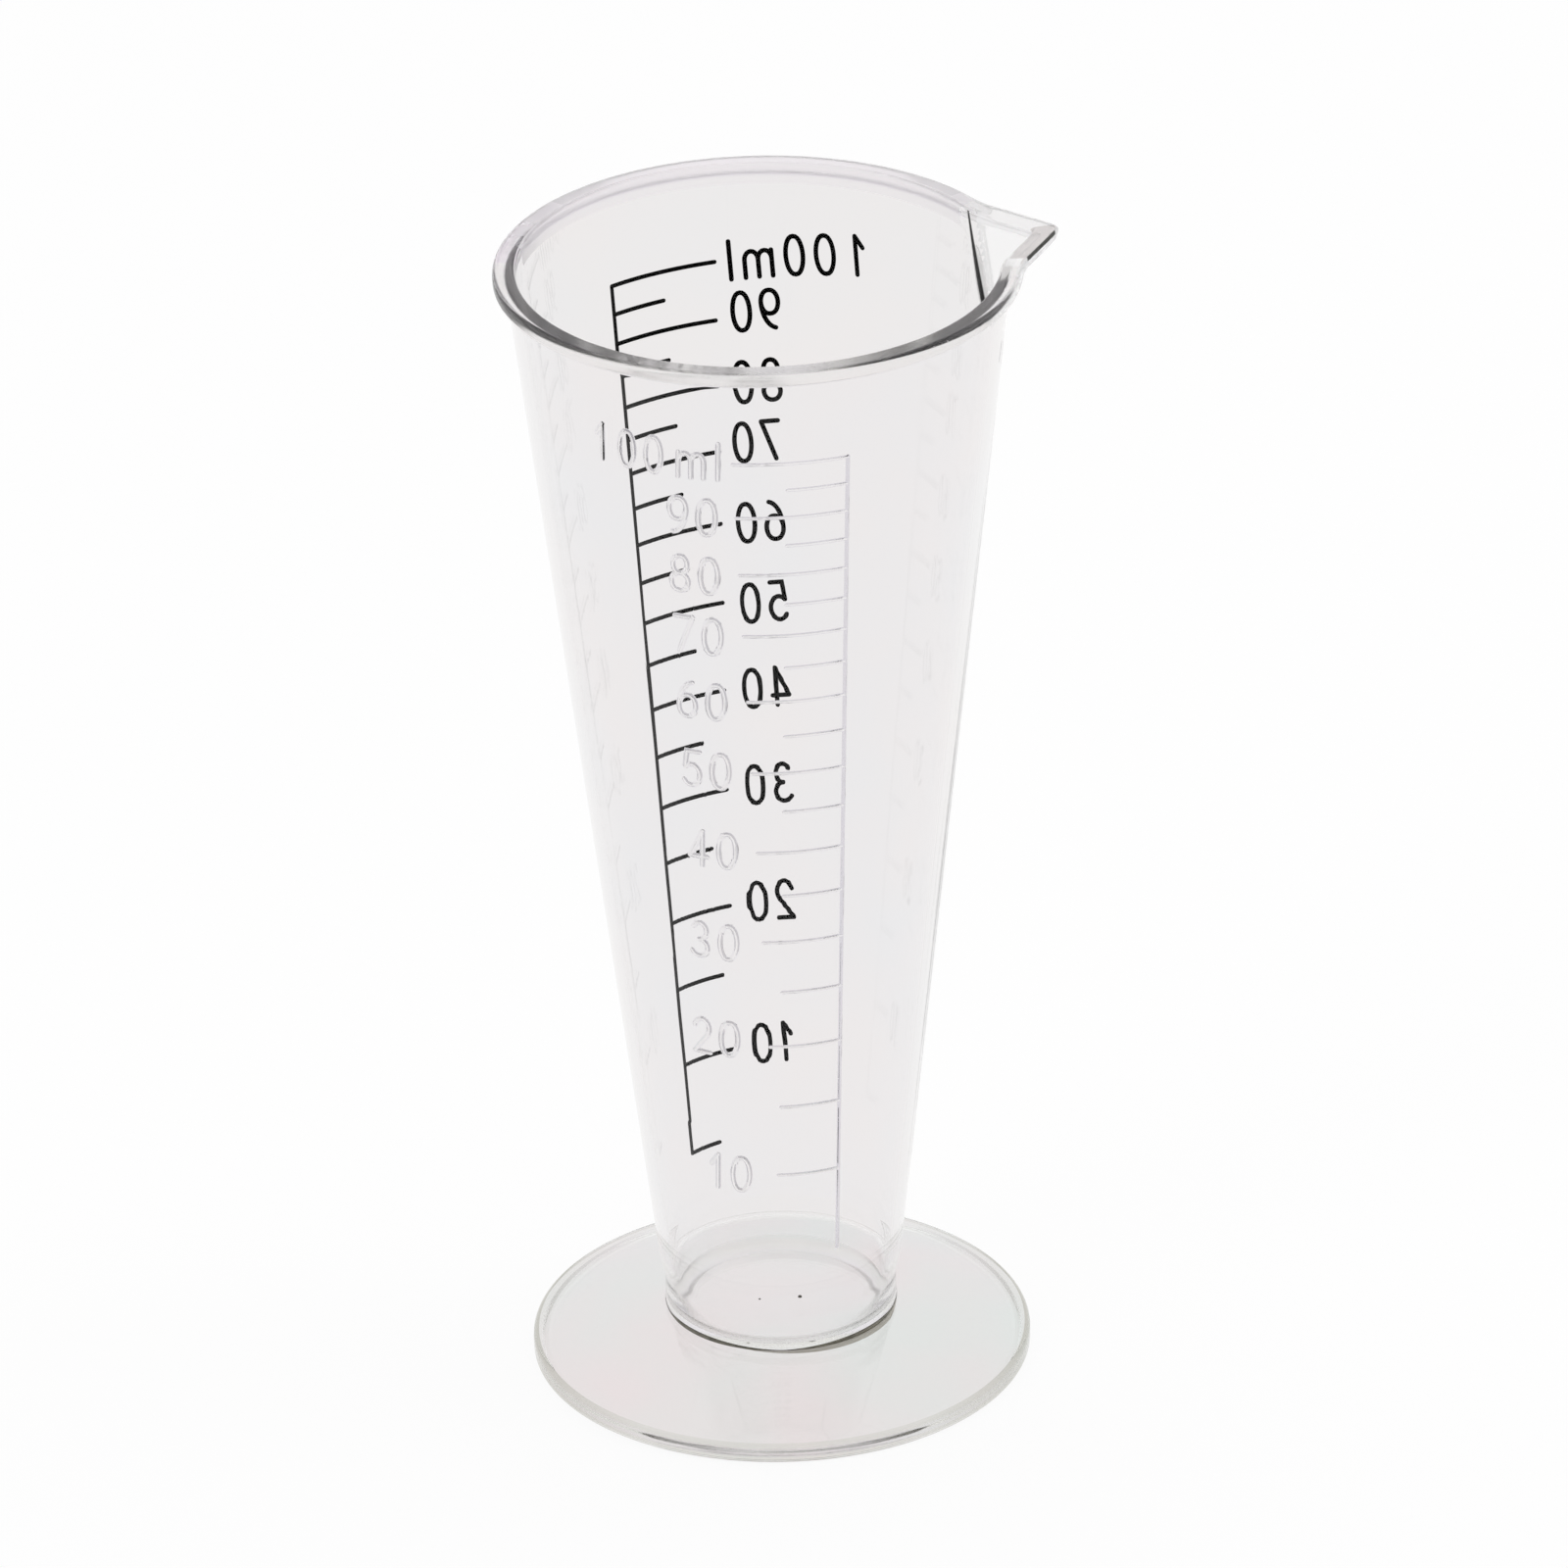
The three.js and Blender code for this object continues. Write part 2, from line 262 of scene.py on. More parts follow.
def lathe(name, profile, azimuths, materials, slot_at):
    """A closed surface from a profile that starts and ends on the axis, spout included.

    slot_at(radius, z) gives the material slot of the faces there."""
    rings = profile[1:-1]
    count = len(azimuths)
    verts = [(0.0, 0.0, profile[0][1])]
    for radius, z in rings:
        shape = np.full(count, radius)
        if z > SPOUT_BOTTOM:
            shape = spouted_radius(azimuths, z, radius - wall_radius(z))
        verts.extend(zip(shape * np.cos(azimuths), shape * np.sin(azimuths), np.full(count, z)))
    verts.append((0.0, 0.0, profile[-1][1]))
    last = len(verts) - 1
    faces, slots = [], []
    middles = [((p[0] + q[0]) / 2, (p[1] + q[1]) / 2) for p, q in zip(profile, profile[1:])]
    band_slots = [slot_at(*middle) for middle in middles]
    for i in range(count):
        j = (i + 1) % count
        faces.append((0, 1 + j, 1 + i))
        for ring in range(len(rings) - 1):
            low, high = 1 + ring * count, 1 + (ring + 1) * count
            faces.append((low + i, low + j, high + j, high + i))
        top = 1 + (len(rings) - 1) * count
        faces.append((top + i, top + j, last))
        slots.extend(band_slots)
    return make_object(name, verts, faces, materials, slots)


def face_values(obj, field, size=1, kind=float):
    """One field of every face, as an array."""
    values = np.zeros(len(obj.data.polygons) * size, kind)
    obj.data.polygons.foreach_get(field, values)
    return values.reshape(-1, size) if size > 1 else values


def set_normals(obj, groups, cone=False):
    """Smooth normals weighted by face area, so that large faces keep their own direction.

    Loops of one group never mix with another's. A group is a whole number for each face.
    With cone, the plain wall's group 0 gets the true normals of its two conical faces."""
    mesh = obj.data
    vertex = np.zeros(len(mesh.loops), np.int32)
    mesh.loops.foreach_get("vertex_index", vertex)
    total = face_values(obj, "loop_total", kind=np.int32)
    weighted = face_values(obj, "normal", 3) * face_values(obj, "area")[:, None]
    weighted = np.repeat(weighted, total, axis=0)
    group = np.repeat(groups, total)
    normals = np.zeros((len(vertex), 3))
    for g in np.unique(group):
        chosen = group == g
        summed = np.zeros((len(mesh.vertices), 3))
        np.add.at(summed, vertex[chosen], weighted[chosen])
        normals[chosen] = summed[vertex[chosen]]
    normals /= np.maximum(np.linalg.norm(normals, axis=1, keepdims=True), 1e-30)
    if cone:
        use_cone_normals(mesh, vertex, group, normals)
    mesh.normals_split_custom_set(normals.tolist())


def use_cone_normals(mesh, vertex, group, normals):
    """Turn the loops on the plain wall's two faces to the cone's own normals."""
    points = np.zeros(len(mesh.vertices) * 3)
    mesh.vertices.foreach_get("co", points)
    x, y, z = (points.reshape(-1, 3) / MM - (AXIS_X, 0, 0))[vertex].T
    around, azimuth = np.hypot(x, y), np.arctan2(y, x)
    plain = (group == 0) & (z > PLAIN_WALL[0]) & (z < PLAIN_WALL[1])
    plain &= (z < SPOUT_BOTTOM) | (np.abs(azimuth) > SPOUT_CLEAR)
    outward = np.column_stack([np.cos(azimuth), np.sin(azimuth), np.full(len(z), -CONE_SLOPE)])
    outward *= math.cos(CONE_ANGLE)
    for true, radius in ((outward, wall_radius(z)), (-outward, inside_radius(z))):
        same_way = np.sum(true * normals, axis=1) > SAME_WAY
        on_face = plain & same_way & (np.abs(around - radius) < NEAR)
        normals[on_face] = true[on_face]


# ---- strokes on the wall: ink and relief ----


STROKE_STEP = 0.5  # longest straight piece of a stroke
MITER_LIMIT = 0.6
CAP_ANGLES = np.radians((25, 50, 75))  # stations of a stroke's round end
INK_SINK, INK_RISE = 0.02, 0.012
INK_TOP = 0.35  # half of its flat top, as a share of its whole width
RIDGE_ROOT = 0.25
RIDGE_POINTS = 13  # across a ridge's swell
UPRIGHT_POINTS = 100
MARK_POINTS = 15
EGG_FULLNESS = 0.88  # an ellipse has 1
OPEN_POINTS = 20  # an open stroke has fewer
CLOSED_GAP = 0.3  # in the glyph's box


def oval(cx, cy, rx, ry, start=0.0, end=360.0, steps=24):
    """Points along an ellipse between two angles in degrees."""
    angles = np.radians(np.linspace(start, end, steps + 1))
    return [(cx + rx * math.cos(a), cy + ry * math.sin(a)) for a in angles]


def egg(cx, cy, rx, ry, steps=28):
    """A narrow oval whose sides are fuller than an ellipse's."""
    points = []
    for a in np.linspace(0, 2 * math.pi, steps + 1)[:-1]:
        c, s = math.cos(a), math.sin(a)
        points.append((cx + rx * math.copysign(abs(c) ** EGG_FULLNESS, c), cy + ry * s))
    return points


SIX = [egg(0.5, 0.31, 0.5, 0.31), oval(0.86, 0.31, 0.86, 0.69, 180, 97, 10)]
GLYPHS = {  # centre lines in a box one wide and one high; a closed stroke ends where it starts
    "0": [egg(0.5, 0.5, 0.5, 0.5)],
    "1": [[(0.72, 0), (0.72, 1)], [(0.72, 1), (0.1, 0.70)]],
    "2": [
        oval(0.5, 0.70, 0.46, 0.30, 165, -25, 14) + [(0.05, 0.0)],
        [(0.05, 0.0), (1.0, 0.0)],
    ],
    "3": [
        oval(0.46, 0.75, 0.42, 0.25, 150, -90, 14),
        oval(0.46, 0.25, 0.5, 0.25, 90, -150, 14),
    ],
    "4": [[(0.74, 1), (0.74, 0)], [(0.74, 1), (0.0, 0.26)], [(0.0, 0.26), (1.0, 0.26)]],
    "5": [
        [(0.92, 1), (0.2, 1), (0.1, 0.53)],
        oval(0.47, 0.31, 0.51, 0.31, 132, -145, 16),
    ],
    "6": SIX,
    "7": [[(0.0, 1), (1.0, 1)], [(1.0, 1), (0.28, 0)]],
    "8": [egg(0.5, 0.75, 0.42, 0.25), egg(0.5, 0.25, 0.5, 0.25)],
    "9": [[(1 - x, 1 - y) for x, y in stroke] for stroke in SIX],
    "m": [
        [(0, 0), (0, 0.68)],
        oval(0.25, 0.46, 0.25, 0.22, 180, 0, 10) + [(0.5, 0)],
        oval(0.75, 0.46, 0.25, 0.22, 180, 0, 10) + [(1.0, 0)],
    ],
    "l": [[(0.5, 0), (0.5, 1)]],
}


def is_closed(stroke):
    """Only a whole oval has that many points and ends beside its start."""
    return len(stroke) > OPEN_POINTS and math.dist(stroke[0], stroke[-1]) < CLOSED_GAP


def flat_print(x, y):
    """A point of the printed sheet, rolled round the cone: x across, y up the scale's middle."""
    apex = wall_radius(y) / math.sin(CONE_ANGLE)
    slant = math.hypot(x, apex)
    azimuth = PRINT_AZIMUTH + math.atan2(x, apex) / math.sin(CONE_ANGLE)
    return azimuth, height_at(slant * math.sin(CONE_ANGLE))


def on_mould(x, y):
    """A point of the moulded scale: x along the wall at the height y."""
    return MOULD_AZIMUTH + x / wall_radius(y), y


def resampled(points, step, closed):
    """Points no further apart than a step, corners kept."""
    ends = points + points[:1] if closed else points
    result = [ends[0]]
    for p, q in zip(ends, ends[1:]):
        count = max(1, math.ceil(math.dist(p, q) / step))
        for i in range(1, count + 1):
            result.append((p[0] + (q[0] - p[0]) * i / count, p[1] + (q[1] - p[1]) * i / count))
    return result[:-1] if closed else result


def stroke_mesh(path, closed, width, section):
    """Points and faces of a closed bar that runs along a path of (azimuth, z) on the wall.

    section(share, width) gives (across, out) points where the bar has that share of its size."""
    azimuth, z = np.array(path).T
    radius = wall_radius(z)
    centre = np.column_stack([radius * np.cos(azimuth), radius * np.sin(azimuth), z])
    level, down = math.cos(CONE_ANGLE), np.full(len(z), -math.sin(CONE_ANGLE))
    normal = np.column_stack([np.cos(azimuth) * level, np.sin(azimuth) * level, down])
    if closed:
        ahead, behind = np.roll(centre, -1, axis=0) - centre, centre - np.roll(centre, 1, axis=0)
    else:
        steps = np.diff(centre, axis=0)
        ahead, behind = np.vstack([steps, steps[-1:]]), np.vstack([steps[:1], steps])
    ahead /= np.linalg.norm(ahead, axis=1, keepdims=True)
    behind /= np.linalg.norm(behind, axis=1, keepdims=True)
    along = ahead + behind
    along /= np.linalg.norm(along, axis=1, keepdims=True)
    across = np.cross(normal, along)
    miter = 1 / np.maximum(np.sum(along * ahead, axis=1), MITER_LIMIT)
    stations = [(c, n, a * m, 1.0) for c, n, a, m in zip(centre, normal, across, miter)]
    if not closed:  # round ends
        for end, sign in ((0, -1), (-1, 1)):
            c, n, a, t = centre[end], normal[end], across[end], along[end]
            cap = []
            for angle in CAP_ANGLES:
                away = sign * width / 2 * math.sin(angle)
                cap.append((c + t * away, n, a, math.cos(angle)))
            stations = cap[::-1] + stations if sign < 0 else stations + cap
    verts = []
    for c, n, a, share in stations:
        verts.extend(c + a * u + n * h for u, h in section(share, width))
    size = len(section(1.0, width))
    count = len(stations)
    faces = []
    for i in range(count if closed else count - 1):
        j = (i + 1) % count
        for k in range(size):
            m = (k + 1) % size
            faces.append((i * size + k, i * size + m, j * size + m, j * size + k))
    if not closed:
        faces.append(tuple(range(size))[::-1])
        faces.append(tuple((count - 1) * size + k for k in range(size)))
    return verts, faces


def join_strokes(strokes, width, section):
    """Points and faces of several strokes, and each face's place round the section."""
    verts, faces, places = [], [], []
    size = len(section(1.0, width))
    for path, closed in strokes:
        more, ring = stroke_mesh(path, closed, width, section)
        faces.extend(tuple(len(verts) + v for v in f) for f in ring)
        verts.extend(more)
        places.extend(i % size for i in range(len(ring)))
    return verts, faces, np.array(places)


def ink_section(share, width):
    """A flat film, a little sunk in the wall so that it shows through it without a gap."""
    half, top = width / 2 * share, width * INK_TOP * share
    side = INK_RISE / 2
    right = [(half, -INK_SINK), (half, side), (top, INK_RISE)]
    return [(-half, -INK_SINK), *right, (-top, INK_RISE), (-half, side)]


def ridge_section(share, width):
    """A ridge that swells gently out of the wall, rooted in it."""
    half, height = width / 2 * share, MOULD_RELIEF * share
    across = np.linspace(1, -1, RIDGE_POINTS)
    swell = [(half * u, height * (1 + math.cos(math.pi * u)) / 2) for u in across]
    return [(-half, -RIDGE_ROOT), (half, -RIDGE_ROOT), *swell]


def label_strokes(text, edges, span, mapping, line):
    """Strokes of one label; edges are each character's left and right side, outside to outside."""
    found = []
    for char, (left, right) in zip(text, edges):
        x0, y0 = left + line / 2, span[0] + line / 2
        wide, high = right - left - line, span[1] - span[0] - line
        for order, stroke in enumerate(GLYPHS[char]):
            closed = is_closed(stroke)
            drawn = [(x0 + x * wide, y0 + y * high) for x, y in stroke]
            placed = resampled(drawn, STROKE_STEP, closed)
            found.append((order, [mapping(x, y) for x, y in placed], closed))
    return found


def scale_lines(mapping, first, baseline, long_mark, short_mark, lowest_mark, line):
    """The upright line (order 0) and the marks (order 1) of a scale, as strokes."""
    top, bottom = height_of(FULL_SCALE), height_of(BASELINE_FOOT)

    def upright_at(z):
        return baseline[0] + (baseline[1] - baseline[0]) * (z - bottom) / (top - bottom)

    upright = [(along_wall(upright_at(z), z), z) for z in np.linspace(bottom, top, UPRIGHT_POINTS)]
    lines = [(0, [mapping(x, z) for x, z in upright], False)]
    for volume in range(FULL_SCALE, first - 1, -MARK_STEP):
        z = height_of(volume)
        length = short_mark
        if volume == BASELINE_FOOT:
            length = lowest_mark
        elif volume % LONG_MARK_STEP == 0:
            length = long_mark - MARK_TAPER * (top - z)
        start = along_wall(upright_at(z), z)
        end = along_wall(upright_at(z) - length + line / 2, z)
        path = [(start + (end - start) * i / (MARK_POINTS - 1), z) for i in range(MARK_POINTS)]
        lines.append((1, [mapping(x, y) for x, y in path], False))
    return lines


def along_wall(lateral, z):
    """Length along the wall of a point that far to the side of the scale's middle."""
    return wall_radius(z) * math.asin(lateral / wall_radius(z))


# How far a digit's two sides are from the right side of its pair
FIRST_DIGIT = (5.28, 3.0)
NARROW_DIGIT = (4.75, 3.05)
LAST_DIGIT = (2.28, 0.0)


def pair(right, narrow=False):
    """Edges of two digits that end at the right; the first may be a narrow 1."""
    sides = (NARROW_DIGIT if narrow else FIRST_DIGIT, LAST_DIGIT)
    return [(right - left, right - end) for left, end in sides]


# Numerals: text, centre height, and each character's edges from the scale's middle
DIGIT_HEIGHT = 4.55
PRINTED_FULL = [(-25.84, -24.04), (-22.4, -20.0), (-19.1, -16.8), (-15.82, -12.49), (-11.45, -11.0)]
PRINTED_LABELS = [
    ("100ml", 112.35, PRINTED_FULL),
    ("90", 106.8, pair(-10.78)),
    ("80", 99.4, pair(-10.28)),
    ("70", 93.1, pair(-9.69)),
    ("60", 84.45, pair(-9.3)),
    ("50", 75.75, pair(-8.95)),
    ("40", 66.5, pair(-8.35)),
    ("30", 56.0, pair(-7.69)),
    ("20", 43.2, pair(-6.84)),
    ("10", 27.5, pair(-5.9, True)),
]
MOULDED_FULL = [(-23.9, -22.2), (-20.9, -18.7), (-17.9, -15.7), (-14.4, -11.3), (-10.5, -9.7)]
MOULDED_LABELS = [
    ("100ml", 112.65, MOULDED_FULL),
    ("90", 106.1, pair(-10.06)),
    ("80", 99.3, pair(-9.8)),
    ("70", 92.2, pair(-9.4)),
    ("60", 84.5, pair(-9.0)),
    ("50", 76.3, pair(-8.51)),
    ("40", 66.8, pair(-7.8)),
    ("30", 55.7, pair(-7.6)),
    ("20", 43.9, pair(-7.42)),
    ("10", 27.3, pair(-6.1, True)),
]


def labels(table, mapping, line):
    """Strokes of all the numerals of a scale."""
    found = []
    for text, middle, edges in table:
        span = (middle - DIGIT_HEIGHT / 2, middle + DIGIT_HEIGHT / 2)
        found += label_strokes(text, edges, span, mapping, line)
    return found


# ---- materials ----


def new_material(name):
    material = bpy.data.materials.new(name)
    material.use_nodes = True
    tree = material.node_tree
    return material, tree, tree.nodes["Principled BSDF"].inputs


def grey(value):
    return (value, value, value)


def math_node(tree, operation, *operands):
    """The result of a Math node; its operands are numbers or sockets."""
    node = tree.nodes.new("ShaderNodeMath")
    node.operation = operation
    for socket, operand in zip(node.inputs, operands):
        if isinstance(operand, float):
            socket.default_value = operand
        else:
            tree.links.new(operand, socket)
    return node.outputs[0]


def vector_node(tree, operation, vector, constant):
    """The result of a Vector Math node on a socket and a constant."""
    node = tree.nodes.new("ShaderNodeVectorMath")
    node.operation = operation
    node.inputs[1].default_value = constant
    tree.links.new(vector, node.inputs[0])
    return node.outputs["Value" if operation == "DOT_PRODUCT" else "Vector"]


def map_range(tree, value, span, result=(0.0, 1.0)):
    node = tree.nodes.new("ShaderNodeMapRange")
    for name, limit in zip(("From Min", "From Max", "To Min", "To Max"), (*span, *result)):
        node.inputs[name].default_value = limit
    tree.links.new(value, node.inputs["Value"])
    return node.outputs["Result"]


def mix_colours(tree, factor, first, second):
    """A Mix node's colour; first and second are colours or sockets."""
    node = tree.nodes.new("ShaderNodeMix")
    node.data_type = "RGBA"
    tree.links.new(factor, node.inputs["Factor"])
    for name, colour in (("A", first), ("B", second)):
        if isinstance(colour, tuple):
            node.inputs[name].default_value = (*colour, 1)
        else:
            tree.links.new(colour, node.inputs[name])
    return node.outputs["Result"]


def object_place(tree):
    return tree.nodes.new("ShaderNodeTexCoord").outputs["Object"]


NOISE_SPAN = (0.3, 0.7)  # the noise's values that the ramp runs over


def noise_ramp(tree, scale, detail, stops, target):
    """Object-space noise through a two-stop ramp into a socket."""
    noise = tree.nodes.new("ShaderNodeTexNoise")
    noise.inputs["Scale"].default_value = scale
    noise.inputs["Detail"].default_value = detail
    ramp = tree.nodes.new("ShaderNodeValToRGB")
    for element, position, colour in zip(ramp.color_ramp.elements, NOISE_SPAN, stops):
        element.position, element.color = position, (*colour, 1)
    tree.links.new(object_place(tree), noise.inputs["Vector"])
    tree.links.new(noise.outputs["Fac"], ramp.inputs["Fac"])
    tree.links.new(ramp.outputs["Color"], target)


FREE_BOUNCES = 8.0
KEPT_PER_BOUNCE = 0.984


def left_after_bounces(tree, share):
    """What is left of light that has run on from face to face inside the plastic."""
    depth = tree.nodes.new("ShaderNodeLightPath").outputs["Ray Depth"]
    past = math_node(tree, "MAXIMUM", math_node(tree, "SUBTRACT", depth, FREE_BOUNCES), 0.0)
    return math_node(tree, "POWER", share, past)


PLASTIC_IOR = 1.49
TINT_NOISE, ROUGH_NOISE = (60, 2), (140, 3)  # scale and detail


def plastic(name, tints, roughness, gloss, kept=KEPT_PER_BOUNCE, alpha=1.0):
    """Clear plastic; gloss is how much of a polished surface's reflection it keeps.

    kept is what is left of the light at each bounce after the first ones."""
    material, tree, inputs = new_material(name)
    inputs["Transmission Weight"].default_value = 1.0
    inputs["IOR"].default_value = PLASTIC_IOR
    inputs["Specular Tint"].default_value = (*grey(gloss), 1)
    inputs["Alpha"].default_value = alpha
    dimmed = tree.nodes.new("ShaderNodeVectorMath")
    dimmed.operation = "SCALE"
    noise_ramp(tree, *TINT_NOISE, tints, dimmed.inputs[0])
    tree.links.new(left_after_bounces(tree, kept), dimmed.inputs["Scale"])
    tree.links.new(dimmed.outputs[0], inputs["Base Color"])
    noise_ramp(tree, *ROUGH_NOISE, [grey(r) for r in roughness], inputs["Roughness"])
    return material


def opaque(name, tints, tint_noise, roughness, rough_noise, alpha=1.0):
    """Ink or glue; each noise is its scale and detail."""
    material, tree, inputs = new_material(name)
    inputs["Alpha"].default_value = alpha
    noise_ramp(tree, *tint_noise, tints, inputs["Base Color"])
    noise_ramp(tree, *rough_noise, [grey(r) for r in roughness], inputs["Roughness"])
    return material


CREASE_X = 23.45
CREASE_LENGTH = 8  # from the rim down to where its width is given
CREASE_HALF_WIDTH = (0.06, 0.2)  # at the rim and at that depth
CREASE_FADE = (0.7, 1.2)  # shares of the half width between which it fades out


def crease_shade(material):
    """Painted shade along the fold where the spout leaves the mouth: a near-black line that widens
    downwards.
    """
    tree = material.node_tree
    tint = tree.nodes["Principled BSDF"].inputs["Base Color"]
    place = tree.nodes.new("ShaderNodeSeparateXYZ")
    tree.links.new(object_place(tree), place.inputs[0])
    heights = (CUP_HEIGHT * MM, (CUP_HEIGHT - CREASE_LENGTH) * MM)
    half = map_range(tree, place.outputs["Z"], heights, [w * MM for w in CREASE_HALF_WIDTH])
    aside = math_node(tree, "SUBTRACT", place.outputs["X"], (CREASE_X + AXIS_X) * MM)
    share = math_node(tree, "ABSOLUTE", math_node(tree, "DIVIDE", aside, half))
    beside = map_range(tree, share, CREASE_FADE)
    tree.links.new(mix_colours(tree, beside, grey(0.001), tint.links[0].from_socket), tint)


OLIVE = (0.5, 0.5, 0.43)
OLIVE_SPAN = (0.55, 1.0)  # shares of the foot's radius to the side between which it grows


def darker_sides(material):
    """Painted shade: the foot's edge is tinted olive at its left and right, and gets no olive at its
    front.
    """
    tree = material.node_tree
    tint = tree.nodes["Principled BSDF"].inputs["Base Color"]
    across = 1 / (FOOT_RADIUS * MM)
    sideways = (-math.sin(FRONT_AZIMUTH) * across, math.cos(FRONT_AZIMUTH) * across, 0)
    centred = vector_node(tree, "SUBTRACT", object_place(tree), (AXIS_X * MM, 0, 0))
    lateral = vector_node(tree, "DOT_PRODUCT", centred, sideways)
    amount = map_range(tree, math_node(tree, "ABSOLUTE", lateral), OLIVE_SPAN)
    tree.links.new(mix_colours(tree, amount, tint.links[0].from_socket, OLIVE), tint)


# Each finish: name, two tints that it drifts between, roughness from and to, gloss
CLEAR_TINTS = [(1.0, 0.985, 0.985), (0.98, 0.985, 0.995)]
HEEL_TINTS = [(1.0, 0.985, 0.985), (0.98, 0.985, 0.98)]
PALE_TINTS = [(0.955, 0.88, 0.965), (0.945, 0.885, 0.95)]
FOOT_TINTS = [(1.0, 0.935, 0.94), (0.925, 0.975, 0.955)]
LIP_TINTS = [(0.98, 0.963, 0.955), (0.965, 0.955, 0.935)]
FAR_TINTS = [(0.99, 0.965, 0.99), (0.985, 0.965, 0.975)]
POLISHED = (0.0, 0.004)
LIP_ROUGH = (0.16, 0.22)
RELIEF_ROUGH = (0.05, 0.12)

clear = plastic("clear_plastic", CLEAR_TINTS, POLISHED, 0.15)
spout_clear = plastic("spout_plastic", [grey(1.0), grey(0.99)], POLISHED, 0.3, alpha=0.3)
foot_clear = plastic("foot_plastic", FOOT_TINTS, POLISHED, 1.0, kept=1.0)
bond = plastic("bonded_faces", [grey(0.93), grey(0.92)], (0.0, 0.01), 0.3, alpha=0.0)
lip = plastic("lip_plastic", LIP_TINTS, LIP_ROUGH, 0.3, kept=0.965)
spout_lip = plastic("spout_lip", [(1.0, 0.99, 1.0), grey(0.98)], LIP_ROUGH, 0.3, alpha=0.45)

# Painted light: the lip is made paler from its sides to its back, in steps: how far backwards each
# step starts, its alpha and roughness
PALE_STEPS = [
    (0.06, 0.94, 0.2),
    (0.14, 0.86, 0.22),
    (0.22, 0.78, 0.25),
    (0.32, 0.68, 0.28),
    (0.44, 0.58, 0.32),
    (0.6, 0.48, 0.34),
]
PALE_SPREAD = 0.04  # of the roughness to either side
FAR_FROM = 0.22  # how far backwards the inside of the mouth starts to look frosted and painted pale
pale_lips = []
for step, (_, alpha, rough) in enumerate(PALE_STEPS):
    spread = (rough - PALE_SPREAD, rough + PALE_SPREAD)
    pale_lips.append(plastic(f"pale_lip{step}", PALE_TINTS, spread, 0.15, 1.0, alpha))

# Painted light: the inside of the mouth at the back, rough and pale
far_mouth = plastic("far_mouth", FAR_TINTS, (0.28, 0.36), 0.15, kept=1.0)
# Painted shade: the spout lip's near side is tinted smoky grey, and its rounding and tip near black
spout_lip_shade = plastic("near_spout_lip_shade", [(0.66, 0.62, 0.61), (0.5, 0.46, 0.45)], LIP_ROUGH, 0.3)
tip = plastic("spout_tip_shade", [(0.005, 0.005, 0.004), (0.03, 0.03, 0.024)], (0.2, 0.3), 0.0)
# Painted shade: a near-black line in the fold where the spout leaves the mouth
crease = plastic("spout_crease_shade", CLEAR_TINTS, POLISHED, 0.15)
crease_shade(crease)
soft = plastic("heel_plastic", HEEL_TINTS, (0.07, 0.11), 0.15, kept=1.0)
soft_corner = plastic("floor_corner", HEEL_TINTS, (0.3, 0.4), 0.15, kept=1.0)
# Painted shade: the foot's edge is tinted a darker beige, and olive towards the sides
edge = plastic("foot_edge", [(0.84, 0.845, 0.79), (0.78, 0.79, 0.74)], (0.1, 0.15), 0.5, kept=1.0)
darker_sides(edge)
# Painted shade: the ridges' sides are tinted darker than the clear wall, darkest on the numerals'
# diagonal sides, then on the marks
relief = plastic("moulded_relief", [(0.93, 0.92, 0.95), (0.88, 0.87, 0.91)], RELIEF_ROUGH, 0.3)
shaded_relief = plastic("shaded_relief", [(0.5, 0.49, 0.53), (0.4, 0.39, 0.43)], RELIEF_ROUGH, 0.3)
mark_relief = plastic("moulded_marks", [(0.74, 0.72, 0.79), (0.62, 0.6, 0.68)], RELIEF_ROUGH, 0.3)

# The joint's dark line is painted shade and its pale smear a painted reflection; the dark tint also
# colours the gate marks
JOINT_SHADE_TINTS = [(0.17, 0.168, 0.135), (0.34, 0.33, 0.27)]
SMEAR_REFLECTION_TINTS = [(0.5, 0.46, 0.36), (0.62, 0.58, 0.47)]
JOINT_ROUGH = (0.3, 0.5)
dark_marks_and_joint_shade = opaque("joint_shade_line", JOINT_SHADE_TINTS, (700, 2), JOINT_ROUGH, (900, 2))
smear_reflection = opaque("painted_reflection_smear", SMEAR_REFLECTION_TINTS, (500, 3), JOINT_ROUGH, (700, 2), alpha=0.5)
ink = opaque("black_ink", [grey(0.001), grey(0.004)], (900, 3), (0.45, 0.6), (1500, 2))
ink.node_tree.nodes["Principled BSDF"].inputs["Specular IOR Level"].default_value = 0.0


# ---- the object ----


SPOUT_ZONE = math.radians(21)  # to either side of the spout, where the faces are closer together
FINE_STEPS = 121
COARSE_STEPS = 213


def ring_azimuths():
    """Directions round the axis, closer together at the spout."""
    fine = np.linspace(-SPOUT_ZONE, SPOUT_ZONE, FINE_STEPS)
    coarse = np.linspace(SPOUT_ZONE, 2 * math.pi - SPOUT_ZONE, COARSE_STEPS)[1:-1]
    return np.concatenate([fine, coarse])


